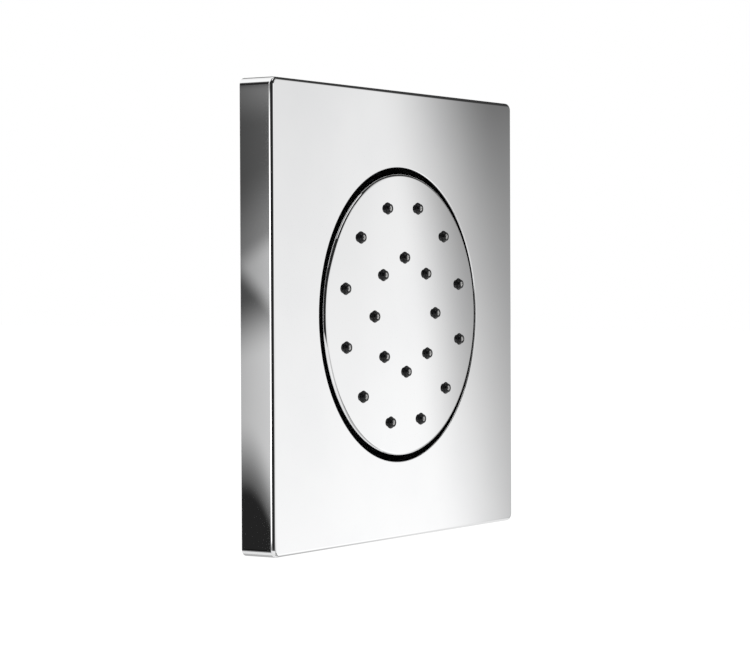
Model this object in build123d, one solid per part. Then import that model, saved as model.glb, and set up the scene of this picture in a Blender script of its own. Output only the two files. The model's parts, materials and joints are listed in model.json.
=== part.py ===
from build123d import *
import os
from math import sqrt

# A square, flush-fitting shower body jet with a round spray head that swivels on a ball joint.
# Pieces are drawn with X to the right, Y up and Z out of the wall, from the finished wall at Z = 0.
# Each is turned when it is written, so that +Z is up, the wall is at Y = 0 and the jet sprays toward -Y.
# All sizes are in millimetres.

# Cover plate
plate_side = 120.0
plate_depth = 10.0
plate_wall = 1.6
plate_corner_r = 2.0
plate_edge_r = 1.0
opening_r = 39.4
opening_edge_r = 0.3

# Spray face
face_gap = 1.6
face_proud = 0.7
face_crown = 0.8
face_thick = 1.8
face_edge_r = 0.6
skirt_wall = 1.5
skirt_depth = 4.8
head_turn = 1.1

# Nozzles, in two rings counted from the edge of the face
outer_count = 12
inner_count = 8
outer_ring_inset = 8.35
ring_pitch = 14.15
nozzle_r = 1.6
nozzle_collar_h = 0.35
nozzle_tip_r = 1.2
nozzle_height = 1.1
orifice_r = 0.5
passage_r = 1.0
nozzle_clearance = 0.05

# Nozzle mat
mat_thick = 1.5
mat_edge_room = 0.4

# Housing behind the face
housing_room = 0.2
rim_wall = 2.6
chamber_depth = 4.4
housing_floor = 2.0
hub_wall = 2.8
hub_chamfer = 2.0
lip_wall = 2.6
rib_count = 8
rib_thick = 1.6
rib_edge = 1.0
rib_end_inset = 4.0
rib_hub_gap = 2.6

# Screws that hold the face, the mat and the housing together
screw_count = 4
screw_r = 1.3
screw_length = 5.4
screw_head_r = 2.8
screw_head_h = 1.7
screw_hole_room = 0.25
pilot_room = 0.05
boss_wall = 1.25
boss_room = 0.15
boss_end_gap = 0.2
pillar_wall = 1.3

# Ball joint
ball_r = 8.0
ball_front_cut = 6.0
ball_front_room = 2.4
seat_gap = 0.05
ring_wall = 1.95
ring_near = 1.2
ring_far = 5.1
seat_contact = 3.2
seat_near = 0.9
seat_far = 5.6
nut_wall = 2.2
nut_thread_gap = 0.1
nut_tail = 2.6
nut_flare = 0.5
notch_count = 4
notch_width = 3.0
notch_depth = 1.5

# Stem
neck_r = 4.75
bore_r = 3.2
swing_room = 2.8
stem_flange_thick = 2.5
stem_flat_depth = 2.5
shank_r = 12.0
shank_room = 0.15
inlet_r = 10.478
inlet_length = 11.4
inlet_chamfer = 1.2
step_gap = 0.6

# Washers and nut that clamp the stem in the cup
stem_washer_width = 2.15
stem_washer_thick = 1.0
stem_washer_inset = 0.2
lock_washer_width = 4.25
lock_washer_thick = 1.0
lock_nut_wall = 2.9
lock_nut_thick = 5.0
lock_nut_chamfer = 1.2

# Inlet fittings
socket_r = 7.5
socket_depth = 10.0
insert_room = 0.1
limiter_seal_wall = 2.6
limiter_seal_thick = 1.2
limiter_length = 4.6
limiter_recess_r = 4.6
limiter_recess_depth = 2.4
limiter_orifice_r = 1.9
strainer_length = 2.4
strainer_wall = 1.0
strainer_floor = 0.7

# Mounting cup
flange_thick = 2.5
flange_corner_r = 6.0
cup_mouth_room = 3.4
cup_straight = 5.0
cup_wall = 2.0
cup_base = 2.5
cup_base_room = 4.0
key_gap = 0.2
key_wide = 2.5
key_long = 18.0
key_high = 2.5
wall_screw_r = 2.25
wall_screw_inset = 5.5

# Gasket on the back of the flange
gasket_gap = 0.6
gasket_wide = 2.0
gasket_thick = 1.0
gasket_corner_r = 24.0
gasket_room = 0.1

# Spring clips over the flange's edges, and the catches inside the cover
clip_thick = 0.4
clip_width = 12.0
clip_bend_r = 0.5
clip_room = 3.4
clip_gap = 0.12
clip_back_leg = 2.8
clip_front_leg = 5.4
clip_turn_rise = 1.4
clip_tip_gap = 0.4
clip_tip_rise = 1.8
clip_tip_inset = 1.4
clip_crest_gap = 0.2
catch_gap = 0.3
catch_height = 1.2
catch_length = 16.0
catch_out = 0.5

# Heights, from the front of the jet to the inlet
rim_z = plate_depth + face_proud
face_back_z = rim_z - face_thick
mat_back_z = face_back_z - mat_thick
floor_z = mat_back_z - chamber_depth
floor_back_z = floor_z - housing_floor
pivot_z = mat_back_z - ball_front_room - ball_front_cut
hub_end_z = pivot_z - seat_far - nut_tail
stem_flange_z = hub_end_z - swing_room
stem_flange_back_z = stem_flange_z - stem_flange_thick
base_z = stem_flange_back_z - stem_washer_thick
base_back_z = base_z - cup_base
nut_z = base_back_z - lock_washer_thick
step_z = nut_z - lock_nut_thick - step_gap
inlet_end_z = step_z - inlet_length
socket_z = inlet_end_z + socket_depth
plate_inside_z = plate_depth - plate_wall

# How closely an edge's radius is matched when the edge is looked up
radius_match = 0.001

# Radii and half widths that the pieces share
face_r = opening_r - face_gap
skirt_inner_r = face_r - skirt_wall
housing_r = skirt_inner_r - housing_room
chamber_r = housing_r - rim_wall
outer_ring_r = face_r - outer_ring_inset
inner_ring_r = outer_ring_r - ring_pitch
screw_ring_r = (outer_ring_r + inner_ring_r) / 2
pilot_r = screw_r + pilot_room
boss_r = pilot_r + boss_wall
pillar_bore_r = boss_r + boss_room
pillar_r = pillar_bore_r + pillar_wall
crown_edge_r = face_r - face_edge_r
crown_r = (crown_edge_r**2 + face_crown**2) / (2 * face_crown)
ring_inner_r = ball_r + seat_gap
ring_outer_r = ring_inner_r + ring_wall
seat_r = ring_outer_r + seat_gap
shank_hole_r = shank_r + shank_room
stem_washer_r = shank_hole_r + stem_washer_width
stem_flat_at = stem_washer_r + stem_washer_inset
stem_flange_r = stem_flat_at + stem_flat_depth
lock_washer_r = shank_hole_r + lock_washer_width
lock_nut_bore_r = shank_r + nut_thread_gap
lock_nut_flat_at = lock_nut_bore_r + lock_nut_wall
cup_mouth_r = face_r + cup_mouth_room
cup_outer_r = cup_mouth_r + cup_wall
cup_base_r = stem_flange_r + cup_base_room
plate_inside = plate_side / 2 - plate_wall
flange_half = plate_inside - clip_room
wall_screw_at = flange_half - wall_screw_inset


def tangent_r(sphere_r, height):
    """Radius at a height of the cone that touches a sphere at the seat's contact height."""
    return (sphere_r**2 - seat_contact * height) / sqrt(sphere_r**2 - seat_contact**2)


seat_mouth_r = tangent_r(seat_r, seat_near)
seat_throat_r = tangent_r(seat_r, seat_far)
nut_r = seat_mouth_r + nut_wall
hub_bore_r = nut_r + nut_thread_gap
hub_r = hub_bore_r + hub_wall
lip_r = seat_throat_r + lip_wall


def crown_z(radius):
    """Height of the crowned face at a distance from its middle."""
    return rim_z + face_crown - crown_r + sqrt(crown_r**2 - radius**2)


def rod(radius, low, high):
    """A round bar on the jet's axis between two heights."""
    lowest = (Align.CENTER, Align.CENTER, Align.MIN)
    return Pos(0, 0, low) * Cylinder(radius, high - low, align=lowest)


def tube(outer, inner, low, high):
    """A ring on the jet's axis between two heights."""
    return rod(outer, low, high) - rod(inner, low, high)


def block(wide, tall, low, high):
    """A square-cornered bar on the jet's axis between two heights."""
    lowest = (Align.CENTER, Align.CENTER, Align.MIN)
    return Pos(0, 0, low) * Box(wide, tall, high - low, align=lowest)


def turned(*corners):
    """A solid turned round the jet's axis from (radius, height) corners."""
    outline = Polyline(*[(radius, 0, height) for radius, height in corners], close=True)
    return revolve(make_face(outline), Axis.Z)


def round_slab(side, corner_r, low, high):
    """A square slab with rounded corners between two heights."""
    return Pos(0, 0, low) * extrude(RectangleRounded(side, side, corner_r), high - low)


def around(count, radius, piece, first=0.0):
    """Copies of a piece spaced evenly on a circle, each turned to face outward."""
    step = 360 / count
    return [Rot(0, 0, first + step * n) * Pos(radius, 0, 0) * piece for n in range(count)]


def rim_edge(solid, radius):
    """The foremost circular edge of a given radius."""
    circles = solid.edges().filter_by(GeomType.CIRCLE)
    return circles.filter_by(lambda edge: abs(edge.radius - radius) < radius_match).sort_by(Axis.Z)[-1]


# Where the nozzles stand: each ring as its radius, its count and the angle of its first nozzle
nozzle_rings = [
    (outer_ring_r, outer_count, 180 / outer_count),
    (inner_ring_r, inner_count, 0.0),
]

# Heights of the spring clip: its tip, its crest and the catch that the crest holds down
clip_tip_z = plate_inside_z - clip_tip_gap
clip_crest_z = clip_tip_z - clip_tip_rise
catch_z = clip_crest_z - clip_thick / 2 - catch_gap - catch_height / 2


def cover_plate():
    """Square pan with rounded corners, a round opening and a catch inside each side."""
    blank = round_slab(plate_side, plate_corner_r, 0, plate_depth)
    pan = fillet(blank.faces().sort_by(Axis.Z)[-1].edges(), plate_edge_r)
    pan -= block(2 * plate_inside, 2 * plate_inside, 0, plate_inside_z)
    pan -= rod(opening_r, 0, plate_depth)
    pan = fillet(rim_edge(pan, opening_r), opening_edge_r)
    catch = Pos(0, 0, catch_z) * Box(2 * catch_out, catch_length, catch_height)
    return pan + around(4, plate_inside, catch)


def cover_clip():
    """Strip bent over the flange's edge, then back on itself and out to a crest against the cover."""
    half = clip_thick / 2
    edge_x = flange_half + clip_gap + half
    back_z = clip_gap + half
    front_z = flange_thick + clip_gap + half
    turn_x = flange_half - clip_front_leg
    crest_x = plate_inside - clip_crest_gap - half
    path = FilletPolyline(
        (flange_half - clip_back_leg, back_z),
        (edge_x, back_z),
        (edge_x, front_z),
        (turn_x, front_z),
        (turn_x, front_z + clip_turn_rise),
        (crest_x, clip_crest_z),
        (crest_x - clip_tip_inset, clip_tip_z),
        radius=clip_bend_r,
    )
    strip = trace(path, clip_thick)
    return extrude(Plane.XZ * strip, clip_width / 2, both=True)


def mounting_cup():
    """Square flange with a dished cup behind it that carries the stem on its base."""
    slope = (cup_mouth_r - cup_base_r) / (-cup_straight - base_z)
    drop = cup_wall * sqrt(1 + 1 / slope**2)
    dish_outer = turned(
        (0, 0),
        (cup_outer_r, 0),
        (cup_outer_r, -cup_straight - drop + cup_wall / slope),
        (cup_base_r - (base_z - drop - base_back_z) * slope, base_back_z),
        (0, base_back_z),
    )
    dish_inner = turned(
        (0, flange_thick),
        (cup_mouth_r, flange_thick),
        (cup_mouth_r, -cup_straight),
        (cup_base_r, base_z),
        (0, base_z),
    )
    cup = round_slab(2 * flange_half, flange_corner_r, 0, flange_thick) + dish_outer
    key = Pos(key_wide / 2, 0, 0) * block(key_wide, key_long, base_z, base_z + key_high)
    cup = cup - dish_inner + around(2, stem_flat_at + key_gap, key)
    cup -= rod(shank_hole_r, base_back_z, base_z)
    cup -= gasket_ring(gasket_room)
    leg_recess_depth = clip_thick + 2 * clip_gap
    leg_recess_long = clip_back_leg + 2 * clip_gap
    leg_recess = block(2 * leg_recess_long, clip_width + 2 * clip_gap, 0, leg_recess_depth)
    screw_hole = rod(wall_screw_r, 0, flange_thick)
    corners = GridLocations(2 * wall_screw_at, 2 * wall_screw_at, 2, 2)
    return cup - around(4, flange_half, leg_recess) - [place * screw_hole for place in corners]


def gasket_ring(room):
    """Rounded square ring round the cup, on the back of the flange, grown sideways by some room."""
    inner = cup_outer_r + gasket_gap
    outer = inner + gasket_wide
    hole = round_slab(2 * (inner - room), gasket_corner_r - gasket_wide, 0, gasket_thick)
    return round_slab(2 * (outer + room), gasket_corner_r, 0, gasket_thick) - hole


def ball_stem():
    """Turned stem: ball, neck, flange with two flats, shank, inlet thread and waterway."""
    ball_front_z = pivot_z + ball_front_cut
    ball_front_r = sqrt(ball_r**2 - ball_front_cut**2)
    neck_z = pivot_z - sqrt(ball_r**2 - neck_r**2)
    ball_edge = ThreePointArc(
        (ball_front_r, 0, ball_front_z),
        (ball_r, 0, pivot_z),
        (neck_r, 0, neck_z),
    )
    corners = [
        (neck_r, neck_z),
        (neck_r, stem_flange_z),
        (stem_flange_r, stem_flange_z),
        (stem_flange_r, stem_flange_back_z),
        (shank_r, stem_flange_back_z),
        (shank_r, step_z),
        (inlet_r, step_z),
        (inlet_r, inlet_end_z + inlet_chamfer),
        (inlet_r - inlet_chamfer, inlet_end_z),
        (socket_r, inlet_end_z),
        (socket_r, socket_z),
        (bore_r, socket_z),
        (bore_r, ball_front_z),
        (ball_front_r, ball_front_z),
    ]
    outline = ball_edge + Polyline(*[(radius, 0, height) for radius, height in corners])
    stem = revolve(make_face(outline), Axis.Z)
    side = Pos(stem_flat_depth / 2, 0, 0) * block(
        stem_flat_depth, 2 * stem_flange_r, stem_flange_back_z, stem_flange_z
    )
    return stem - around(2, stem_flat_at, side)


def seat_ring(side):
    """Ring with a conical bore against the ball and a spherical back, ahead of (1) or behind (-1) it."""
    near_z = pivot_z + side * ring_near
    far_z = pivot_z + side * ring_far
    mid = (ring_near + ring_far) / 2
    near_back_r = sqrt(ring_outer_r**2 - ring_near**2)
    far_back_r = sqrt(ring_outer_r**2 - ring_far**2)
    back = ThreePointArc(
        (near_back_r, 0, near_z),
        (sqrt(ring_outer_r**2 - mid**2), 0, pivot_z + side * mid),
        (far_back_r, 0, far_z),
    )
    front = Polyline(
        (far_back_r, 0, far_z),
        (tangent_r(ring_inner_r, ring_far), 0, far_z),
        (tangent_r(ring_inner_r, ring_near), 0, near_z),
        (near_back_r, 0, near_z),
    )
    return revolve(make_face(back + front), Axis.Z)


def spray_face():
    """Crowned disc with a skirt, nozzle holes and screw bosses on its back."""
    blank = rod(face_r, rim_z - skirt_depth, rim_z)
    disc = fillet(rim_edge(blank, face_r), face_edge_r)
    disc -= rod(skirt_inner_r, rim_z - skirt_depth, face_back_z)
    crown_ball = Pos(0, 0, crown_z(0) - crown_r) * Rot(0, 90, 0) * Sphere(crown_r)
    disc += rod(crown_edge_r, rim_z, crown_z(0)) & crown_ball
    boss = tube(boss_r, pilot_r, floor_z + boss_end_gap, face_back_z)
    disc += around(screw_count, screw_ring_r, boss)
    hole = rod(nozzle_r + nozzle_clearance, face_back_z, crown_z(0))
    for ring_r, count, first in nozzle_rings:
        disc -= around(count, ring_r, hole, first)
    return disc


def nozzle_mat():
    """Moulded mat with a stepped nozzle, narrowing inside, through each hole of the face."""
    mat = rod(skirt_inner_r - mat_edge_room, mat_back_z, face_back_z)
    mat -= around(screw_count, screw_ring_r, rod(boss_r + boss_room, mat_back_z, face_back_z))
    for ring_r, count, first in nozzle_rings:
        collar_z = crown_z(ring_r) + nozzle_collar_h
        end_z = crown_z(ring_r) + nozzle_height
        nozzle = turned(
            (0, face_back_z),
            (nozzle_r, face_back_z),
            (nozzle_r, collar_z),
            (nozzle_tip_r, collar_z),
            (nozzle_tip_r, end_z),
            (0, end_z),
        )
        passage = turned(
            (0, mat_back_z),
            (passage_r, mat_back_z),
            (orifice_r, end_z),
            (0, end_z),
        )
        mat += around(count, ring_r, nozzle, first)
        mat -= around(count, ring_r, passage, first)
    return mat


def jet_housing():
    """Back of the spray head: chamber, screw pillars, ribs and the hub round the ball."""
    seat_start_z = pivot_z - seat_near
    lip_z = pivot_z + seat_far
    body = turned(
        (hub_bore_r, hub_end_z),
        (hub_bore_r, seat_start_z),
        (seat_mouth_r, seat_start_z),
        (seat_mouth_r, pivot_z + seat_near),
        (seat_throat_r, lip_z),
        (lip_r, lip_z),
        (lip_r, floor_z),
        (chamber_r, floor_z),
        (chamber_r, mat_back_z),
        (housing_r, mat_back_z),
        (housing_r, floor_back_z),
        (hub_r, floor_back_z),
        (hub_r, hub_end_z + hub_chamfer),
        (hub_r - hub_chamfer, hub_end_z),
    )
    pillar = tube(pillar_r, pillar_bore_r, floor_z, mat_back_z)
    body += around(screw_count, screw_ring_r, pillar)
    hole = rod(screw_r + screw_hole_room, floor_back_z, floor_z)
    body -= around(screw_count, screw_ring_r, hole)
    root_r = hub_r - hub_wall / 2
    rib_end_r = housing_r - rib_end_inset
    rib_outline = Polyline(
        (root_r, 0, floor_back_z),
        (rib_end_r, 0, floor_back_z),
        (rib_end_r, 0, floor_back_z - rib_edge),
        (root_r, 0, hub_end_z + rib_hub_gap),
        close=True,
    )
    rib = extrude(make_face(rib_outline), rib_thick / 2, both=True)
    return body + around(rib_count, 0, rib, 180 / rib_count)


def gland_nut():
    """Round nut that closes the hub behind the ball, with spanner notches in its back."""
    nut = turned(
        (seat_mouth_r, pivot_z - seat_near),
        (nut_r, pivot_z - seat_near),
        (nut_r, hub_end_z),
        (seat_throat_r + nut_flare, hub_end_z),
        (seat_throat_r, pivot_z - seat_far),
    )
    notch = block(2 * nut_wall, notch_width, hub_end_z, hub_end_z + notch_depth)
    return nut - around(notch_count, nut_r, notch)


def face_screws():
    """Pan-head screws from behind the housing into the bosses of the face."""
    head = rod(screw_head_r, floor_back_z - screw_head_h, floor_back_z)
    screw = head + rod(screw_r, floor_back_z, floor_back_z + screw_length)
    return Compound(around(screw_count, screw_ring_r, screw))


def wall_gasket():
    """Foam ring in the groove on the back of the flange."""
    return gasket_ring(0)


def stem_washer():
    """Rubber washer between the stem's flange and the base of the cup."""
    return tube(stem_washer_r, shank_hole_r, base_z, stem_flange_back_z)


def lock_washer():
    """Flat washer between the base of the cup and the nut."""
    return tube(lock_washer_r, shank_hole_r, nut_z, base_back_z)


def lock_nut():
    """Hexagon nut on the shank, with the corners of its back chamfered."""
    end_z = nut_z - lock_nut_thick
    flats = RegularPolygon(lock_nut_flat_at, 6, major_radius=False)
    blank = Pos(0, 0, end_z) * extrude(flats, lock_nut_thick)
    corner_r = lock_nut_flat_at * 2 / sqrt(3)
    chamfered = turned(
        (0, end_z),
        (lock_nut_flat_at, end_z),
        (corner_r, end_z + lock_nut_chamfer),
        (corner_r, nut_z),
        (0, nut_z),
    )
    return (blank & chamfered) - rod(lock_nut_bore_r, end_z, nut_z)


def limiter_seal():
    """Ring between the limiter and the end of its socket."""
    outer = socket_r - insert_room
    return tube(outer, outer - limiter_seal_wall, socket_z - limiter_seal_thick, socket_z)


def flow_limiter():
    """Cartridge with a recess on the inlet side and one metering orifice."""
    top = socket_z - limiter_seal_thick
    body = rod(socket_r - insert_room, top - limiter_length, top)
    body -= rod(limiter_recess_r, top - limiter_length, top - limiter_length + limiter_recess_depth)
    return body - rod(limiter_orifice_r, top - limiter_length, top)


def strainer():
    """Shallow cap of mesh that stands open side out in the inlet."""
    top = socket_z - limiter_seal_thick - limiter_length
    outer = socket_r - insert_room
    cap = rod(outer, top - strainer_length, top)
    return cap - rod(outer - strainer_wall, top - strainer_length, top - strainer_floor)


def build():
    """Every piece by its node name, in the drawing frame."""
    swivel = Rot(0, 0, head_turn)
    pieces = {
        "cover_plate": cover_plate(),
        "mounting_cup": mounting_cup(),
        "wall_gasket": wall_gasket(),
        "ball_stem": ball_stem(),
        "stem_washer": stem_washer(),
        "lock_washer": lock_washer(),
        "lock_nut": lock_nut(),
        "limiter_seal": limiter_seal(),
        "flow_limiter": flow_limiter(),
        "strainer": strainer(),
        "cup_seal": seat_ring(1),
        "friction_ring": seat_ring(-1),
        "spray_face": swivel * spray_face(),
        "nozzle_mat": swivel * nozzle_mat(),
        "jet_housing": swivel * jet_housing(),
        "gland_nut": swivel * gland_nut(),
        "face_screws": swivel * face_screws(),
    }
    for quarter, side in enumerate(["right", "top", "left", "bottom"]):
        pieces["cover_clip_" + side] = Rot(0, 0, 90 * quarter) * cover_clip()
    return pieces


os.makedirs("parts", exist_ok=True)
upright = Rot(90, 0, 0)
for node, piece in build().items():
    export_step(upright * piece, f"parts/{node}.step")
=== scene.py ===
import json
from math import asin, atan2, ceil, cos, hypot, pi, radians, sin, sqrt, tan, tau

import bmesh
import bpy
from mathutils import Matrix, Vector
from mathutils.geometry import delaunay_2d_cdt


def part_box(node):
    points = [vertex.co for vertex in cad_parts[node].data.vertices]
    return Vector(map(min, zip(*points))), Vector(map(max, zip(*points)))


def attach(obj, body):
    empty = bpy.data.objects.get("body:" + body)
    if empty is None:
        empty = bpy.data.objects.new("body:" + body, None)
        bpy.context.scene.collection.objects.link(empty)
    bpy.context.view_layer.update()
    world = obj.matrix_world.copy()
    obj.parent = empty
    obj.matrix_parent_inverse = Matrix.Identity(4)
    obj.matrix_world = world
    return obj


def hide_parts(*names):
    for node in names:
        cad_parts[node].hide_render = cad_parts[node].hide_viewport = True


# A square chrome shower body jet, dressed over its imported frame.
# Pieces are drawn in millimetres across, up and out of the wall, on the axis of the jet.

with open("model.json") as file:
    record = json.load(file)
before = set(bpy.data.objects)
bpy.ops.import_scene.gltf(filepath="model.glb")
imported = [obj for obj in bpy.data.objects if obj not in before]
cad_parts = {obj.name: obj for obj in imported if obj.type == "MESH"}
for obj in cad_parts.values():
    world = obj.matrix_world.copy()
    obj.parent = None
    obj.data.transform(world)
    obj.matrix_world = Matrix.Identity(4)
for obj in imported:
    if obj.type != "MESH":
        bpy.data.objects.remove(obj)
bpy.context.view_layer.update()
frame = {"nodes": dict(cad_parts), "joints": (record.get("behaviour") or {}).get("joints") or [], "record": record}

MM = 0.001
ROUND = 256
WELD = 0.0002
COPY_WELD = 0.002
SAME_SPOT = 0.00001
HAIR = 0.01
SHARP_TURN = radians(32)
FLAT_TURN = radians(0.05)
SQUARE_ON = 0.999999


# Sizes read from the frame

def reach(node):
    """How far a node reaches to the side, and its nearest and furthest places out of the wall."""
    low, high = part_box(node)
    return high.x / MM, -high.y / MM, -low.y / MM


plate_half, _, plate_front = reach("cover_plate")
face_r, boss_end, face_apex = reach("spray_face")
mat_r, mat_back, _ = reach("nozzle_mat")
stem_half, inlet_end, ball_front = reach("ball_stem")
nut_corner_r, nut_back, nut_front = reach("lock_nut")
_, _, flange_back = reach("stem_washer")
strainer_r, strainer_end, strainer_top = reach("strainer")
pivot_out = -frame["joints"][0]["pos_m"][1] / MM


# Sizes that the frame's boxes can't tell

plate_wall = 1.6
plate_corner_r = 2.0
plate_inside_corner_r = 0.1
plate_edge_r = 1.0
plate_back_edge_r = 0.15
opening_r = 39.4
opening_edge_r = 0.3
catch_length = 16.0
catch_height = 1.2
catch_stand = 0.5
catch_edge_r = 0.15
catch_behind_front = 4.9

face_edge_r = 0.9
face_crown = 0.8
face_thick = 1.8
crown_spacing = 1.8
skirt_wall = 1.5
skirt_depth = 4.8
skirt_edge_r = 0.2
head_turn = radians(1.1)
boss_ring_r = 22.375
boss_r = 2.6
boss_room = 0.15
boss_steps = 48
pilot_r = 1.35

outer_ring = (29.45, 12, pi / 12)
inner_ring = (15.3, 8, 0.0)
nozzle_r = 1.6
nozzle_hole_r = 1.65
nozzle_height = 1.1
nozzle_steps = 36
collar_height = 0.35
collar_edge_r = 0.28
tip_r = 1.2
tip_foot_r = 0.1
tip_edge_r = 0.3
orifice_r = 0.5
orifice_flare = 0.15
orifice_depth = 0.6
orifice_lip_r = 0.18
orifice_throat_r = 0.2
# Radius round each nozzle within which its faces take the painted highlight.
orifice_highlight_r = 0.58
passage_r = 1.0

rim_out = face_apex - face_crown
crown_edge_r = face_r - face_edge_r
crown_r = (crown_edge_r**2 + face_crown**2) / (2 * face_crown)
face_back = rim_out - face_thick
skirt_end = rim_out - skirt_depth
skirt_inner_r = face_r - skirt_wall

ball_r = 8.0
ball_steps = 40
neck_r = 4.75
neck_fillet_r = 0.4
bore_r = 3.2
flange_r = 17.0
flange_thick = 2.5
flange_front_edge_r = 0.3
flange_back_edge_r = 0.2
shank_r = 12.0
shank_past_nut = 0.6
shank_pitch = 1.5
shank_thread_depth = 0.55
shank_steps_a_turn = 10
inlet_r = 10.478
inlet_pitch = 1.814
inlet_thread_depth = 0.95
inlet_steps_a_turn = 12
inlet_chamfer = 1.2
thread_run_out = 0.8
socket_r = 7.5
socket_depth = 10.0
stem_steps = ROUND // 2

flange_front = flange_back + flange_thick
shank_end = nut_back - shank_past_nut
socket_end = inlet_end + socket_depth

nut_bore_room = 0.1
nut_bore_r = shank_r + nut_bore_room
nut_land_inset = 0.3
nut_edge_break = 0.15
nut_edge_depth = 0.4
nut_chamfer = 1.2
nut_chamfer_steps = 14
nut_countersink = 0.6
nut_steps = 240

strainer_wall = 1.0
strainer_edge_r = 0.15
strainer_steps = 96
weave_pitch = 0.75
weave_depth = 0.4
weave_steps_a_pitch = 4
wire_r = 0.15
wire_sides = 6


# Outlines

def at(across, up, out):
    """A place in the frame, in metres."""
    return Vector((across, -out, up)) * MM


def spaced(first, last, steps):
    """Values from one to another in equal steps."""
    return [first + (last - first) * n / steps for n in range(steps + 1)]


def circle(radius, out, steps=ROUND, centre=(0.0, 0.0)):
    """Loop of points round an axis that leaves the wall."""
    turns = [tau * n / steps for n in range(steps)]
    return [(centre[0] + radius * cos(turn), centre[1] + radius * sin(turn), out) for turn in turns]


def rounded_square(half, corner_r, out, steps=ROUND):
    """Loop of points round a square with rounded corners, as many as a circle has."""
    bend = steps // 16
    run = (steps // 4 - bend) // 2
    straight = half - corner_r
    quarter = [(half, straight * n / run) for n in range(run)]
    for n in range(bend):
        turn = pi / 2 * n / bend
        quarter.append((straight + corner_r * cos(turn), straight + corner_r * sin(turn)))
    quarter += [(straight * (1 - n / run), half) for n in range(run)]
    loop = []
    for _ in range(4):
        loop += [(across, up, out) for across, up in quarter]
        quarter = [(-up, across) for across, up in quarter]
    return loop


def rounded_edge(edge_r, steps):
    """How far each step round an edge lies in from the face it leaves and from the face it comes to."""
    return [(edge_r * (1 - cos(turn)), edge_r * (1 - sin(turn))) for turn in spaced(0.0, pi / 2, steps)]


def softened(corners, steps=6):
    """Outline with its corners rounded: each corner is a radius, a place out of the wall and its round."""
    outline = []
    for n, (radius, out, round_r) in enumerate(corners):
        corner = Vector((radius, out))
        if not round_r:
            outline.append(tuple(corner))
            continue
        back = (Vector(corners[n - 1][:2]) - corner).normalized()
        ahead = (Vector(corners[(n + 1) % len(corners)][:2]) - corner).normalized()
        half_turn = back.angle(ahead) / 2
        centre = corner + (back + ahead).normalized() * (round_r / sin(half_turn))
        begin = corner + back * (round_r / tan(half_turn)) - centre
        sweep = begin.angle_signed(corner + ahead * (round_r / tan(half_turn)) - centre)
        for turn in spaced(0.0, -sweep, steps):
            outline.append((
                centre.x + begin.x * cos(turn) - begin.y * sin(turn),
                centre.y + begin.x * sin(turn) + begin.y * cos(turn),
            ))
    return outline


def turned(outline, steps=ROUND, centre=(0.0, 0.0), shape=None):
    """Loops of an outline turned round an axis, where a shape may change the radius at each place."""
    loops = []
    for radius, out in outline:
        loop = []
        for n in range(steps):
            turn = tau * n / steps
            there_r = shape(radius, out, turn) if shape else radius
            loop.append((centre[0] + there_r * cos(turn), centre[1] + there_r * sin(turn), out))
        loops.append(loop)
    return loops


def skin(mesh, loops, closed=False, caps=()):
    """Quads between loops that follow each other, and a flat cap on each loop that is numbered for one."""
    rings = [[mesh.verts.new(at(*spot)) for spot in loop] for loop in loops]
    pairs = list(zip(rings, rings[1:]))
    if closed:
        pairs.append((rings[-1], rings[0]))
    for near, far in pairs:
        for n in range(len(near)):
            m = (n + 1) % len(near)
            mesh.faces.new((near[n], near[m], far[m], far[n]))
    for number in caps:
        mesh.faces.new(rings[number])


def perforated(mesh, rim_r, holes, height, spacing=None):
    """Sheet inside a round rim with round holes, at a height that depends on the radius.

    Each hole is its centre, radius and steps. A spacing adds points between the holes, for a curved sheet.
    """
    loops = [circle(rim_r, 0)]
    loops += [circle(radius, 0, steps, centre) for centre, radius, steps in holes]
    spots, edges, loop_of = [], [], {}
    for number, loop in enumerate(loops):
        base = len(spots)
        count = len(loop)
        spots += [Vector(spot[:2]) for spot in loop]
        edges += [(base + n, base + (n + 1) % count) for n in range(count)]
        loop_of.update({base + n: number for n in range(count)})
    if spacing:
        for ring in range(int(rim_r / spacing)):
            radius = ring * spacing
            count = max(1, ceil(tau * radius / spacing))
            for across, up, _ in circle(radius, 0, count):
                clear = [hypot(across - centre[0], up - centre[1]) - hole_r for centre, hole_r, _ in holes]
                if min(clear) > spacing / 2:
                    spots.append(Vector((across, up)))
    found, _, faces, origins, *_ = delaunay_2d_cdt(spots, edges, [], 0, SAME_SPOT)
    verts = [mesh.verts.new(at(spot.x, spot.y, height(spot.length))) for spot in found]
    for face in faces:
        touched = {loop_of.get(origins[n][0]) for n in face}
        if len(touched) > 1 or touched <= {0, None}:
            mesh.faces.new([verts[n] for n in face])


def soften_edges(mesh, edges, edge_r):
    """Rounds edges of a mesh by a radius."""
    bmesh.ops.bevel(
        mesh, geom=edges, offset=edge_r * MM, segments=3, profile=0.5, affect="EDGES", clamp_overlap=True
    )


def rounded_block(mesh, middle, size, edge_r):
    """Small block with rounded edges, with its middle and size given across, up and out."""
    made = bmesh.ops.create_cube(mesh, size=1.0)["verts"]
    for vert in made:
        spot = [m + s * c for m, s, c in zip(middle, size, (vert.co.x, vert.co.z, -vert.co.y))]
        vert.co = at(*spot)
    edges = dict.fromkeys(edge for vert in made for edge in vert.link_edges)
    soften_edges(mesh, list(edges), edge_r)


# Shader maths

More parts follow.
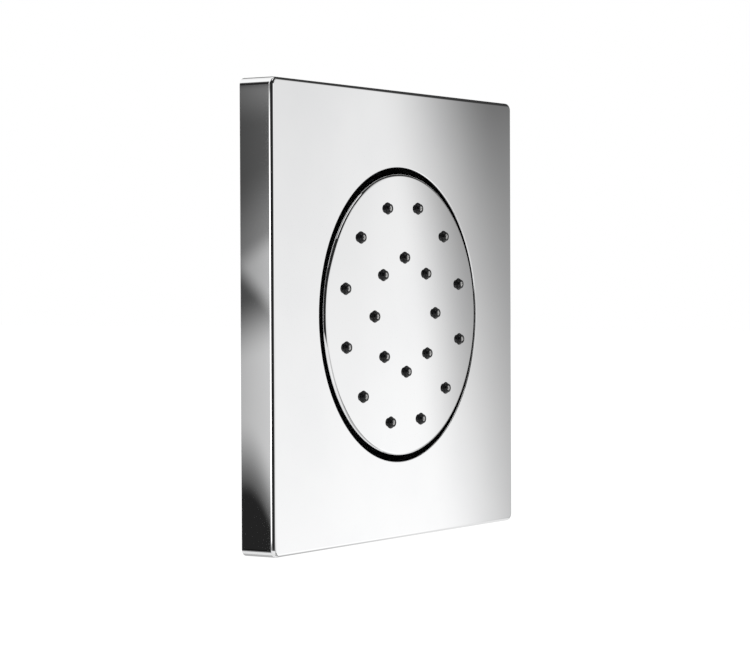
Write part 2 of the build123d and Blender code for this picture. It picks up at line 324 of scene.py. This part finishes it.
class Wire:
    """An output of a node. Arithmetic on it adds Math nodes, and node() adds any other kind."""

    def __init__(self, tree, socket=None):
        self.tree = tree
        self.socket = socket

    def node(self, kind, settings=(), sockets=(), output=0):
        """A new node of a kind: its settings are set first, then the values or links of its sockets."""
        made = self.tree.nodes.new("ShaderNode" + kind)
        for name, value in dict(settings).items():
            setattr(made, name, value)
        for name, value in dict(sockets).items():
            if isinstance(value, Wire):
                self.tree.links.new(value.socket, made.inputs[name])
            else:
                made.inputs[name].default_value = value
        return Wire(self.tree, made.outputs[output] if made.outputs else None)

    def maths(self, operation, first, second=0.0):
        """A Math node on one or two values."""
        return self.node("Math", {"operation": operation}, {0: first, 1: second})

    def __add__(self, other):
        return self.maths("ADD", self, other)

    def __sub__(self, other):
        return self.maths("SUBTRACT", self, other)

    def __mul__(self, other):
        return self.maths("MULTIPLY", self, other)

    def __truediv__(self, other):
        return self.maths("DIVIDE", self, other)

    def __pow__(self, other):
        return self.maths("POWER", self, other)

    def __rsub__(self, other):
        return self.maths("SUBTRACT", other, self)

    __radd__ = __add__
    __rmul__ = __mul__


def start(name):
    """A new material and the wire of its piece's own coordinates."""
    material = bpy.data.materials.new(name)
    material.use_nodes = True
    material.node_tree.nodes.clear()
    place = Wire(material.node_tree).node("TexCoord", output="Object")
    return material, place


def shade(place, sockets):
    """Closes a material with its surface shader."""
    surface = place.node("BsdfPrincipled", {}, sockets)
    place.node("OutputMaterial", {}, {"Surface": surface})


def axes(place):
    """The three coordinates of a piece, in millimetres across, up and out."""
    split = [place.node("SeparateXYZ", {}, {"Vector": place}, axis) for axis in "XZY"]
    return split[0] / MM, split[1] / MM, split[2] * (-1 / MM)


def mottle(place, size, detail=2.0):
    """Soft noise with blotches of a size in millimetres."""
    return place.node("TexNoise", {}, {"Vector": place, "Scale": 1 / (size * MM), "Detail": detail})


def blend(place, share, first, second):
    """One colour going over to another."""
    colours = {0: share, 6: (*first, 1), 7: (*second, 1)}
    return place.node("Mix", {"data_type": "RGBA"}, colours, 2)


def relief(place, height, depth):
    """Surface normal for a height, where one unit is a depth in millimetres."""
    return place.node("Bump", {}, {"Height": height, "Distance": depth * MM, "Strength": 1.0})


def smooth(place, value, low, high):
    """0 below a value, 1 above another, and a soft step between."""
    limits = {"Value": value, "From Min": low, "From Max": high}
    return place.node("MapRange", {"interpolation_type": "SMOOTHSTEP"}, limits)


# Finishes

def polished_chrome():
    """Bright plating: faint waves in the polish and a breath of haze."""
    material, place = start("polished_chrome")
    haze = smooth(place, mottle(place, 22, 3), 0.35, 0.75)
    film = mottle(place, 1.4, 2)
    waves = mottle(place, 9, 1)
    shade(place, {
        "Base Color": blend(place, haze, (0.955, 0.957, 0.96), (0.93, 0.933, 0.94)),
        "Metallic": 1.0,
        "Roughness": 0.018 + haze * 0.012 + film * 0.01,
        "Normal": relief(place, waves, 0.0006),
    })
    return material


def plain_chrome():
    """The same plating on the inside of the cover, where it isn't polished."""
    material, place = start("plain_chrome")
    grain = mottle(place, 0.25, 3)
    cloud = mottle(place, 12, 3)
    shade(place, {
        "Base Color": blend(place, cloud, (0.62, 0.62, 0.63), (0.5, 0.5, 0.51)),
        "Metallic": 1.0,
        "Roughness": 0.28 + cloud * 0.2,
        "Normal": relief(place, grain, 0.01),
    })
    return material


def nozzle_rubber():
    """Moulded silicone, nearly black, with a smooth shining skin."""
    material, place = start("nozzle_rubber")
    bloom = mottle(place, 1.8, 3)
    skin_grain = mottle(place, 0.3, 2)
    shade(place, {
        "Base Color": blend(place, bloom, (0.005, 0.005, 0.0055), (0.01, 0.01, 0.011)),
        "Roughness": 0.1 + bloom * 0.1,
        "IOR": 1.41,
        "Normal": relief(place, skin_grain, 0.002),
    })
    return material


def orifice_painted_highlight():
    """The same silicone inside the orifices, painted pale: a painted highlight for the bright spot that light
    makes in each orifice.
    """
    material, place = start("orifice_painted_highlight")
    # The pale colour and its mottle are a painted highlight, not the silicone's own colour.
    highlight_mottle = mottle(place, 0.6, 3)
    shade(place, {
        "Base Color": blend(place, highlight_mottle, (0.92, 0.92, 0.91), (0.8, 0.8, 0.79)),
        "Roughness": 0.5 + highlight_mottle * 0.2,
        "Normal": relief(place, mottle(place, 0.1), 0.004),
    })
    return material


def black_plastic():
    """Moulding with a fine spark-eroded grain and cloudy flow marks."""
    material, place = start("black_plastic")
    flow = mottle(place, 16, 4)
    grain = mottle(place, 0.22, 3)
    shade(place, {
        "Base Color": blend(place, flow, (0.018, 0.018, 0.019), (0.034, 0.034, 0.036)),
        "Roughness": 0.42 + flow * 0.12 + grain * 0.1,
        "Normal": relief(place, grain, 0.02),
    })
    return material


def acetal():
    """Off-white turned plastic with close turning rings."""
    material, place = start("acetal")
    across, up, out = axes(place)
    rings = place.maths("SINE", (across * across + up * up) ** 0.5 * 24 + out * 24)
    cloud = mottle(place, 6, 3)
    shade(place, {
        "Base Color": blend(place, cloud, (0.8, 0.79, 0.75), (0.72, 0.71, 0.66)),
        "Roughness": 0.38 + cloud * 0.12,
        "Normal": relief(place, rings, 0.003),
    })
    return material


def limiter_plastic():
    """Blue moulded cartridge."""
    material, place = start("limiter_plastic")
    cloud = mottle(place, 4, 3)
    shade(place, {
        "Base Color": blend(place, cloud, (0.1, 0.27, 0.4), (0.15, 0.34, 0.46)),
        "Roughness": 0.35 + cloud * 0.15,
        "Normal": relief(place, mottle(place, 0.2), 0.008),
    })
    return material


def seal_rubber():
    """Matt black rubber with a dusty bloom."""
    material, place = start("seal_rubber")
    bloom = smooth(place, mottle(place, 3, 4), 0.45, 0.7)
    shade(place, {
        "Base Color": blend(place, bloom, (0.016, 0.016, 0.016), (0.04, 0.04, 0.039)),
        "Roughness": 0.55 + bloom * 0.2,
        "Normal": relief(place, mottle(place, 0.15), 0.012),
    })
    return material


def gasket_foam():
    """Closed-cell foam: a skin of small cells."""
    material, place = start("gasket_foam")
    cells = place.node("TexVoronoi", {"feature": "F1"}, {"Vector": place, "Scale": 1 / (0.4 * MM)})
    cloud = mottle(place, 5, 2)
    shade(place, {
        "Base Color": blend(place, cells * 0.7 + cloud * 0.3, (0.07, 0.07, 0.072), (0.14, 0.14, 0.142)),
        "Roughness": 0.85 + cloud * 0.1,
        "Normal": relief(place, cells, 0.12),
    })
    return material


def turned_brass():
    """Bare turned brass: tool rings, and dull brown tarnish in patches."""
    material, place = start("turned_brass")
    across, up, out = axes(place)
    radius = (across * across + up * up) ** 0.5
    rings = place.maths("SINE", radius * 34 + out * 34 + mottle(place, 4) * 3)
    tarnish = smooth(place, mottle(place, 7, 5), 0.42, 0.72)
    shade(place, {
        "Base Color": blend(place, tarnish, (0.78, 0.57, 0.27), (0.5, 0.33, 0.14)),
        "Metallic": 1.0,
        "Roughness": 0.2 + tarnish * 0.22 + rings * 0.03,
        "Normal": relief(place, rings, 0.0022),
    })
    return material


def plain_steel():
    """Zinc-plated steel, slightly clouded."""
    material, place = start("plain_steel")
    cloud = mottle(place, 3, 5)
    scuffs = mottle(place, 0.3, 4)
    shade(place, {
        "Base Color": blend(place, cloud, (0.62, 0.62, 0.62), (0.5, 0.5, 0.52)),
        "Metallic": 1.0,
        "Roughness": 0.26 + cloud * 0.18,
        "Normal": relief(place, scuffs, 0.004),
    })
    return material


def steel_wire():
    """Fine drawn stainless wire."""
    material, place = start("steel_wire")
    cloud = mottle(place, 1.2, 3)
    shade(place, {
        "Base Color": blend(place, cloud, (0.58, 0.58, 0.57), (0.44, 0.44, 0.44)),
        "Metallic": 1.0,
        "Roughness": 0.25 + cloud * 0.15,
        "Normal": relief(place, mottle(place, 0.1), 0.002),
    })
    return material


def spring_steel():
    """Rolled strip with fine streaks along the roll."""
    material, place = start("spring_steel")
    streaks = place.node("TexNoise", {}, {
        "Vector": place.node("Mapping", {}, {"Vector": place, "Scale": (1.0, 14.0, 1.0)}),
        "Scale": 1 / (2.2 * MM),
        "Detail": 4.0,
    })
    shade(place, {
        "Base Color": blend(place, streaks, (0.66, 0.65, 0.62), (0.52, 0.51, 0.49)),
        "Metallic": 1.0,
        "Roughness": 0.2 + streaks * 0.18,
        "Normal": relief(place, streaks, 0.003),
    })
    return material


finishes = {
    "chrome": polished_chrome(),
    "nozzle_rubber": nozzle_rubber(),
    "black_plastic": black_plastic(),
    "acetal": acetal(),
    "limiter_plastic": limiter_plastic(),
    "seal_rubber": seal_rubber(),
    "gasket_foam": gasket_foam(),
    "brass": turned_brass(),
    "steel": plain_steel(),
    "steel_mesh": steel_wire(),
    "spring_steel": spring_steel(),
}
slot_of = {part["node"]: part["material_slot"] for part in frame["record"]["subparts"]}
body_of = {node: body for body, nodes in frame["record"]["behaviour"]["bodies"].items() for node in nodes}

for node, solid in frame["nodes"].items():
    solid.data.materials.clear()
    solid.data.materials.append(finishes[slot_of[node]])


def dress(name, node, mesh, extra=()):
    """Makes a mesh the piece that stands for a node, in the node's finish and on its body."""
    bmesh.ops.remove_doubles(mesh, verts=mesh.verts, dist=WELD * MM)
    bmesh.ops.recalc_face_normals(mesh, faces=mesh.faces)
    for face in mesh.faces:
        face.smooth = True
    for edge in mesh.edges:
        edge.smooth = edge.calc_face_angle(0.0) < SHARP_TURN
    data = bpy.data.meshes.new(name)
    mesh.to_mesh(data)
    mesh.free()
    data.materials.append(finishes[slot_of[node]])
    for material in extra:
        data.materials.append(material)
    piece = bpy.data.objects.new(name, data)
    bpy.context.scene.collection.objects.link(piece)
    normals = piece.modifiers.new("flats stay flat", "WEIGHTED_NORMAL")
    normals.keep_sharp = True
    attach(piece, body_of[node])
    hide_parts(node)


# Pieces

def cover():
    """Chrome pan with rounded corners, a soft front edge, a round opening and a catch for each clip."""
    mesh = bmesh.new()
    inside_half = plate_half - plate_wall
    inside_out = plate_front - plate_wall

    def outside(inset, out):
        """Loop round the outside of the pan, set in from its sides."""
        return rounded_square(plate_half - inset, plate_corner_r - inset, out)

    loops = [rounded_square(inside_half, plate_inside_corner_r, 0.0)]
    loops += [outside(inset, out) for out, inset in rounded_edge(plate_back_edge_r, 3)]
    loops += [outside(inset, plate_front - back) for inset, back in rounded_edge(plate_edge_r, 10)]
    for back, wider in rounded_edge(opening_edge_r, 8):
        loops.append(circle(opening_r + wider, plate_front - back))
    loops += [circle(opening_r, inside_out), rounded_square(inside_half, plate_inside_corner_r, inside_out)]
    skin(mesh, loops, closed=True)
    for face in mesh.faces:
        middle = face.calc_center_median() / MM
        within = max(abs(middle.x), abs(middle.z)) < inside_half + HAIR
        face.material_index = int(within and -middle.y < inside_out + HAIR)
    pan_faces = len(mesh.faces)
    for across, up in ((1, 0), (0, 1), (-1, 0), (0, -1)):
        middle = (across * inside_half, up * inside_half, plate_front - catch_behind_front)
        wide, tall = (2 * catch_stand, catch_length) if across else (catch_length, 2 * catch_stand)
        rounded_block(mesh, middle, (wide, tall, catch_height), catch_edge_r)
    mesh.faces.ensure_lookup_table()
    for face in mesh.faces[pan_faces:]:
        face.material_index = 1
    dress("chrome_cover", "cover_plate", mesh, [plain_chrome()])


def crown_out(radius):
    """How far out the crowned face stands at a radius."""
    return face_apex - crown_r + sqrt(crown_r**2 - radius**2)


def nozzle_places():
    """Centre of each nozzle and how far out the face stands there."""
    places = []
    for ring_r, count, first in (outer_ring, inner_ring):
        for n in range(count):
            turn = head_turn + first + tau * n / count
            places.append(((ring_r * cos(turn), ring_r * sin(turn)), crown_out(ring_r)))
    return places


def boss_places():
    """Centres of the four screw bosses."""
    turns = [head_turn + pi / 2 * n for n in range(4)]
    return [(boss_ring_r * cos(turn), boss_ring_r * sin(turn)) for turn in turns]


def spray_disc():
    """Crowned chrome disc with its skirt, nozzle holes and screw bosses."""
    mesh = bmesh.new()
    holes = [(centre, nozzle_hole_r, nozzle_steps) for centre, _ in nozzle_places()]
    bosses = [(centre, boss_r, boss_steps) for centre in boss_places()]
    outline = [(skirt_inner_r, face_back), (skirt_inner_r, skirt_end)]
    outline += [(face_r - inset, skirt_end + out) for out, inset in rounded_edge(skirt_edge_r, 4)]
    outline += [(face_r - inset, rim_out - back) for inset, back in rounded_edge(face_edge_r, 10)]
    skin(mesh, turned(outline))
    perforated(mesh, crown_edge_r, holes, crown_out, crown_spacing)
    perforated(mesh, skirt_inner_r, holes + bosses, lambda radius: face_back)
    for centre, radius, steps in holes:
        foot = circle(radius, face_back, steps, centre)
        skin(mesh, [foot, [(across, up, crown_out(hypot(across, up))) for across, up, _ in foot]])
    for centre, radius, steps in bosses:
        outline = [(radius, face_back), (radius, boss_end), (pilot_r, boss_end), (pilot_r, face_back)]
        skin(mesh, turned(outline, steps, centre), caps=(-1,))
    dress("chrome_spray_disc", "spray_face", mesh)


def rubber_mat():
    """Moulded mat with its stepped nozzles, each with rounded edges and a tapered passage."""
    mesh = bmesh.new()
    mat_front = face_back
    nozzles = nozzle_places()
    bosses = [(centre, boss_r + boss_room, boss_steps) for centre in boss_places()]
    roots = [(centre, nozzle_r, nozzle_steps) for centre, _ in nozzles]
    inlets = [(centre, passage_r, nozzle_steps) for centre, _ in nozzles]
    perforated(mesh, mat_r, bosses + roots, lambda radius: mat_front)
    perforated(mesh, mat_r, bosses + inlets, lambda radius: mat_back)
    skin(mesh, turned([(mat_r, mat_back), (mat_r, mat_front)]))
    for centre, radius, steps in bosses:
        skin(mesh, turned([(radius, mat_back), (radius, mat_front)], steps, centre))
    for centre, crown in nozzles:
        collar = crown + collar_height
        end = crown + nozzle_height
        corners = [
            (nozzle_r, mat_front, 0),
            (nozzle_r, collar, collar_edge_r),
            (tip_r, collar, tip_foot_r),
            (tip_r, end, tip_edge_r),
            (orifice_r + orifice_flare, end, orifice_lip_r),
            (orifice_r, end - orifice_depth, orifice_throat_r),
            (passage_r, mat_back, 0),
        ]
        skin(mesh, turned(softened(corners), nozzle_steps, centre))
    # Faces near each orifice, out past the collars, take the pale painted highlight material.
    tips_out = rim_out + collar_height
    for face in mesh.faces:
        middle = face.calc_center_median() / MM
        near = min(hypot(middle.x - centre[0], middle.z - centre[1]) for centre, _ in nozzles)
        face.material_index = int(near < orifice_highlight_r and -middle.y > tips_out)
    dress("rubber_nozzle_mat", "nozzle_mat", mesh, [orifice_painted_highlight()])


def thread_cut(out, turn, pitch, low, high):
    """Depth of a rounded thread, from 0 on the crest to 1 in the root, running out at both ends."""
    wave = 0.5 - 0.5 * cos(tau * (out / pitch - turn / tau))
    from_low = max(0.0, (out - low) / pitch)
    from_high = max(0.0, (high - out) / (thread_run_out * pitch))
    return wave * min(1.0, from_low, from_high)


def threaded_stem():
    """Brass stem: ball, neck, flange with two flats, threaded shank and threaded inlet."""
    mesh = bmesh.new()
    front_turn = asin((ball_front - pivot_out) / ball_r)
    neck_turn = -atan2(sqrt(ball_r**2 - neck_r**2), neck_r)
    turns = spaced(front_turn, neck_turn, ball_steps)
    ball = [(ball_r * cos(turn), pivot_out + ball_r * sin(turn)) for turn in turns]
    flange = softened([
        (*ball[-1], 0),
        (neck_r, flange_front, neck_fillet_r),
        (flange_r, flange_front, flange_front_edge_r),
        (flange_r, flange_back, flange_back_edge_r),
        (shank_r, flange_back, 0),
    ])
    shank_steps = int((flange_back - shank_end) / (shank_pitch / shank_steps_a_turn))
    shank = [(shank_r, out) for out in spaced(flange_back, shank_end, shank_steps)]
    inlet_steps = int((shank_end - inlet_end) / (inlet_pitch / inlet_steps_a_turn))
    chamfer_out = inlet_end + inlet_chamfer
    inlet = []
    for out in spaced(shank_end, inlet_end, inlet_steps):
        inlet.append((inlet_r - max(0.0, chamfer_out - out), out))
    waterway = [(socket_r, inlet_end), (socket_r, socket_end), (bore_r, socket_end), (bore_r, ball_front)]

    def shape(radius, out, turn):
        """Flats on the flange, and threads cut into the shank and the inlet."""
        if flange_back <= out <= flange_front and radius > shank_r:
            return min(radius, stem_half / abs(cos(turn)))
        if radius == shank_r:
            cut = thread_cut(out, turn, shank_pitch, shank_end - shank_pitch, nut_front)
            return radius - shank_thread_depth * cut
        if shank_end > out > inlet_end and radius > socket_r:
            cut = thread_cut(out, turn, inlet_pitch, inlet_end - inlet_pitch, shank_end)
            return min(radius, inlet_r - inlet_thread_depth * cut)
        return radius

    outline = ball + flange[1:] + shank[1:] + inlet + waterway
    skin(mesh, turned(outline, stem_steps, shape=shape), closed=True)
    dress("threaded_brass_stem", "ball_stem", mesh)


def brass_nut():
    """Hexagon nut with chamfered corners and a countersunk bore."""
    mesh = bmesh.new()
    flat_at = nut_corner_r * sqrt(3) / 2
    outline = [
        (nut_bore_r, nut_front),
        (flat_at - nut_land_inset, nut_front),
        (nut_corner_r - nut_edge_break, nut_front - nut_edge_break),
        (nut_corner_r, nut_front - nut_edge_depth),
    ]
    radii = spaced(nut_corner_r, flat_at, nut_chamfer_steps)
    outline += zip(radii, spaced(nut_back + nut_chamfer, nut_back, nut_chamfer_steps))
    outline += [(nut_bore_r + nut_countersink, nut_back), (nut_bore_r, nut_back + nut_countersink)]

    def hexagon(radius, out, turn):
        """Radius inside the six flats."""
        from_flat = turn % (pi / 3) - pi / 6
        return min(radius, flat_at / cos(from_flat))

    skin(mesh, turned(outline, nut_steps, shape=hexagon), closed=True)
    dress("brass_lock_nut", "lock_nut", mesh)


def woven_strainer():
    """Steel ring with a woven mesh across it."""
    mesh = bmesh.new()
    inner_r = strainer_r - strainer_wall
    corners = [
        (inner_r, strainer_end, strainer_edge_r),
        (strainer_r, strainer_end, strainer_edge_r),
        (strainer_r, strainer_top, strainer_edge_r),
        (inner_r, strainer_top, strainer_edge_r),
    ]
    skin(mesh, turned(softened(corners, 4), strainer_steps), closed=True)
    weave_r = strainer_r - strainer_wall / 2
    weave_out = strainer_top - weave_depth
    rows = int(inner_r / weave_pitch)
    for along in (0, 1):
        for row in range(-rows, rows + 1):
            offset = row * weave_pitch
            half = sqrt(weave_r**2 - offset**2)
            loops = []
            for run in spaced(-half, half, int(2 * half / (weave_pitch / weave_steps_a_pitch))):
                lift = wire_r * cos(pi * (run / weave_pitch + row + along))
                loop = []
                for side, rise, _ in circle(wire_r, 0, wire_sides):
                    spot = (run, offset + side) if along else (offset + side, run)
                    loop.append((*spot, weave_out + lift + rise))
                loops.append(loop)
            skin(mesh, loops, caps=(0, -1))
    dress("woven_strainer", "strainer", mesh)


def softened_copy(name, node, edge_r):
    """The node's own form with its sharp edges rounded."""
    mesh = bmesh.new()
    mesh.from_mesh(frame["nodes"][node].data)
    bmesh.ops.remove_doubles(mesh, verts=mesh.verts, dist=COPY_WELD * MM)
    mesh.normal_update()
    flat = {face for face in mesh.faces if max(abs(share) for share in face.normal) > SQUARE_ON}
    inner = [edge for edge in mesh.edges if flat.issuperset(edge.link_faces)]
    bmesh.ops.dissolve_limit(
        mesh, angle_limit=FLAT_TURN, use_dissolve_boundaries=False, verts=[], edges=inner
    )
    bmesh.ops.join_triangles(
        mesh, faces=mesh.faces, angle_face_threshold=FLAT_TURN, angle_shape_threshold=pi
    )
    soften_edges(mesh, [edge for edge in mesh.edges if edge.calc_face_angle(0.0) > SHARP_TURN], edge_r)
    dress(name, node, mesh)


cover()
spray_disc()
rubber_mat()
threaded_stem()
brass_nut()
woven_strainer()
softened_copy("moulded_cup", "mounting_cup", edge_r=0.25)
softened_copy("foam_wall_gasket", "wall_gasket", edge_r=0.3)
softened_copy("steel_lock_washer", "lock_washer", edge_r=0.15)


# Studio

floor_up = -420
floor_half = 20000
flag_top = 700
flag_foot = -220
flag_front = 1000
flag_corner = -30
flag_left = -1000
flag_left_out = 100


def upright(across, near, far, low, high):
    """Corners of a card that stands square to the wall."""
    return [(across, low, near), (across, low, far), (across, high, far), (across, high, near)]


def facing(out, left, right, low, high):
    """Corners of a card that stands along the wall."""
    return [(left, low, out), (right, low, out), (right, high, out), (left, high, out)]


def level(up, left, right, near, far):
    """Corners of a card that lies level."""
    return [(left, up, near), (right, up, near), (right, up, far), (left, up, far)]


def sheet(name, corners, material):
    """Flat sheet of the studio, which isn't part of the jet."""
    data = bpy.data.meshes.new(name)
    data.from_pydata([at(*corner) for corner in corners], [], [(0, 1, 2, 3)])
    data.materials.append(material)
    made = bpy.data.objects.new(name, data)
    bpy.context.scene.collection.objects.link(made)
    return made


def card(name, tone_of, corners):
    """Glowing card that only reflections see, with a brightness that depends on the place in millimetres."""
    material, place = start(name)
    across, up, out = axes(place)
    emission = place.node("Emission", {}, {"Color": tone_of(place, across, up, out), "Strength": 1.0})
    place.node("OutputMaterial", {}, {"Surface": emission})
    made = sheet(name, corners, material)
    made.visible_camera = False
    made.visible_shadow = False
    made.visible_diffuse = False


def panel_tone(place, across, up, out):
    """Bright diffuser that falls off softly at its ends and near the wall, sooner and further at its top."""
    ends = smooth(place, up, 100, 300) * 0.4 + (1 - smooth(place, up, -250, -140)) * 0.4
    front = smooth(place, out, 130, 170) * 0.05 + smooth(place, out, 210, 330) * 0.3
    bright = 0.932 - front - up * 0.0012 - ends
    foot = 0.35 + smooth(place, up, -125, -90) * 0.65
    fall = (0.565 + up * 0.0005 + up * up * 0.0000155) * foot
    middle = 97 + up * 0.16
    return place.maths("MAXIMUM", bright - fall * smooth(place, middle - out, -25, 25), 0.04)


def cloud_tone(place, across, up, out):
    """Dark card with two soft clouds of light, lighter to the right, and black above and below them."""
    side = out + 130
    low = up + side + side * side * 0.08
    high = up - side * 0.5
    grey = smooth(place, low, -68, -61) * (1 - smooth(place, up, 75, 82))
    foot = smooth(place, low, -94, -88)
    ends = smooth(place, up, 150, 240) * 0.2 + (1 - smooth(place, up, -235, -120)) * 0.3
    top = smooth(place, up, 62, 75) * (1 - smooth(place, up, 76, 80))
    upper = smooth(place, up + side * 0.8, 1, 12)
    core = upper * (1 - smooth(place, high, 15, 25))
    tail = upper * (1 - smooth(place, high, 20, 50))
    lower = smooth(place, low, -66.5, -40) * (1 - smooth(place, up - side * 0.3, -18, 6))
    tone = grey * 0.066 + top * 0.07 + core * 0.22 + tail * 0.115
    return 0.003 + foot * 0.0145 + ends + tone * (1 + side * 0.03) + lower * (0.46 + side * 0.0075)


def edge_tone(place, across, up, out):
    """White strip that shows along the cover's left front edge and fades at its ends."""
    low = smooth(place, up, -165, -105)
    high = 1 - smooth(place, up, 60, 140)
    return 0.35 + low * high * 1.8


def back_tone(place, across, up, out):
    """Pale card behind the jet, greyer to the right."""
    return 0.95 - smooth(place, across, 0, 700) * 0.65


def low_tone(place, across, up, out):
    """Grey card behind the jet and below it."""
    return 0.42 + mottle(place, 300) * 0.06


def floor_flag_tone(place, across, up, out):
    """Grey card on the floor in front, going black to the right."""
    return 0.46 - smooth(place, across, 200, 350) * 0.44


def window_tone(place, across, up, out):
    """Dark flag, going over to a bright window at its right, level with the jet, and to grey at its foot."""
    beside = smooth(place, up, -220, -150) * (1 - smooth(place, up, 170, 300))
    window = smooth(place, across, -300, 150) * beside
    foot = 1 - smooth(place, up, -235, -150)
    return 0.02 + window * 0.9 + (1 - window) * foot * 0.5


def black_tone(place, across, up, out):
    """Black flag, hardly mottled."""
    return 0.02 + smooth(place, mottle(place, 400), 0.3, 0.8) * 0.01


card("right_panel", panel_tone, upright(across=180, near=330, far=-300, low=-260, high=330))
card("left_back_card", cloud_tone, upright(across=-250, near=-122, far=-330, low=-235, high=240))
card("left_edge_card", edge_tone, upright(across=-780, near=20, far=-420, low=-170, high=160))
card("back_card", back_tone, facing(out=-500, left=-100, right=1600, low=floor_up, high=1200))
card("low_back_card", low_tone, level(up=-300, left=-80, right=900, near=-130, far=-520))
card(
    "front_floor_flag",
    floor_flag_tone,
    level(up=-405, left=flag_corner, right=700, near=150, far=flag_front),
)
card("front_right_flag", window_tone, facing(flag_front, flag_corner, right=560, low=-500, high=flag_top))
card("front_left_flag", window_tone, [
    (flag_left, flag_foot, flag_left_out),
    (flag_corner, flag_foot, flag_front),
    (flag_corner, flag_top, flag_front),
    (flag_left, flag_top, flag_left_out),
])
card("left_flag", black_tone, upright(flag_left, near=flag_left_out, far=-190, low=flag_foot, high=flag_top))
card("front_ceiling_flag", black_tone, [
    (flag_left, flag_top, flag_left_out),
    (flag_corner, flag_top, flag_front),
    (600, flag_top, flag_front),
    (600, flag_top, 0),
])


def seen_directly(wires, in_reflections=1.0):
    """1 for what the eye sees, and a share of it for what gloss and clear things show."""
    seen = wires.node("LightPath", output="Is Camera Ray")
    for ray in ("Is Glossy Ray", "Is Transmission Ray"):
        seen = wires.maths("MAXIMUM", seen, wires.node("LightPath", output=ray) * in_reflections)
    return seen


def backdrop():
    """White surroundings for the eye and for reflections, and a plain level of light from all round."""
    world = bpy.data.worlds.new("studio")
    bpy.context.scene.world = world
    world.use_nodes = True
    world.node_tree.nodes.clear()
    wires = Wire(world.node_tree)
    strength = 0.75 + seen_directly(wires) * 0.25
    light = wires.node("Background", {}, {"Color": (1, 1, 1, 1), "Strength": strength})
    wires.node("OutputWorld", {}, {"Surface": light})


def floor():
    """Pale floor well below the jet: white to the eye where no shadow falls, and greyer in reflections."""
    material, place = start("studio_floor")
    colour = blend(place, mottle(place, 900), (0.84, 0.84, 0.84), (0.8, 0.8, 0.8))
    matt = place.node("BsdfDiffuse", {}, {"Color": colour})
    white = seen_directly(place, in_reflections=0.4) * 0.45
    glow = place.node("Emission", {}, {"Color": white, "Strength": 1.0})
    both = place.node("AddShader", {}, {0: matt, 1: glow})
    place.node("OutputMaterial", {}, {"Surface": both})
    sheet("floor", level(floor_up, -floor_half, floor_half, floor_half, -floor_half), material)


def lamp(name, where, size, energy, along):
    """Soft lamp that shines at the jet, with its long side along a line. Gloss shows it, the eye doesn't."""
    light = bpy.data.lights.new(name, "AREA")
    light.shape = "RECTANGLE"
    light.size, light.size_y = size
    light.energy = energy
    made = bpy.data.objects.new(name, light)
    back = Vector(where).normalized()
    side = back.cross(Vector(along)).normalized()
    long = side.cross(back)
    made.matrix_world = Matrix.Translation(where) @ Matrix((long, side, back)).transposed().to_4x4()
    made.visible_camera = False
    bpy.context.scene.collection.objects.link(made)


def camera():
    """The photograph's viewpoint: from the left of the jet, nearly level with its middle."""
    lens = bpy.data.cameras.new("camera")
    lens.lens = 120.39
    lens.sensor_width = 36.0
    lens.clip_start = 0.01
    lens.clip_end = 100.0
    made = bpy.data.objects.new("camera", lens)
    where = Vector((-0.57064, -0.36758, 0.0081))
    turn = Vector((-0.01454, 0.01271, -1.00048))
    to_the_wall = Matrix.Rotation(radians(90), 4, "X")
    aim = Matrix.Rotation(turn.length, 4, turn.normalized()) @ to_the_wall
    made.matrix_world = Matrix.Translation(where) @ aim
    bpy.context.scene.collection.objects.link(made)
    bpy.context.scene.camera = made


backdrop()
floor()
lamp(
    "upper_left_strip",
    where=(-0.05, -0.255, 0.56),
    size=(0.46, 0.12),
    energy=0.22,
    along=(-0.61, -0.21, -0.38),
)
lamp(
    "lower_left_softbox",
    where=(-0.26, -0.33, -0.44),
    size=(0.4, 0.2),
    energy=0.045,
    along=(0.0, 0.0, 1.0),
)
camera()
bpy.context.scene.view_settings.view_transform = "Standard"
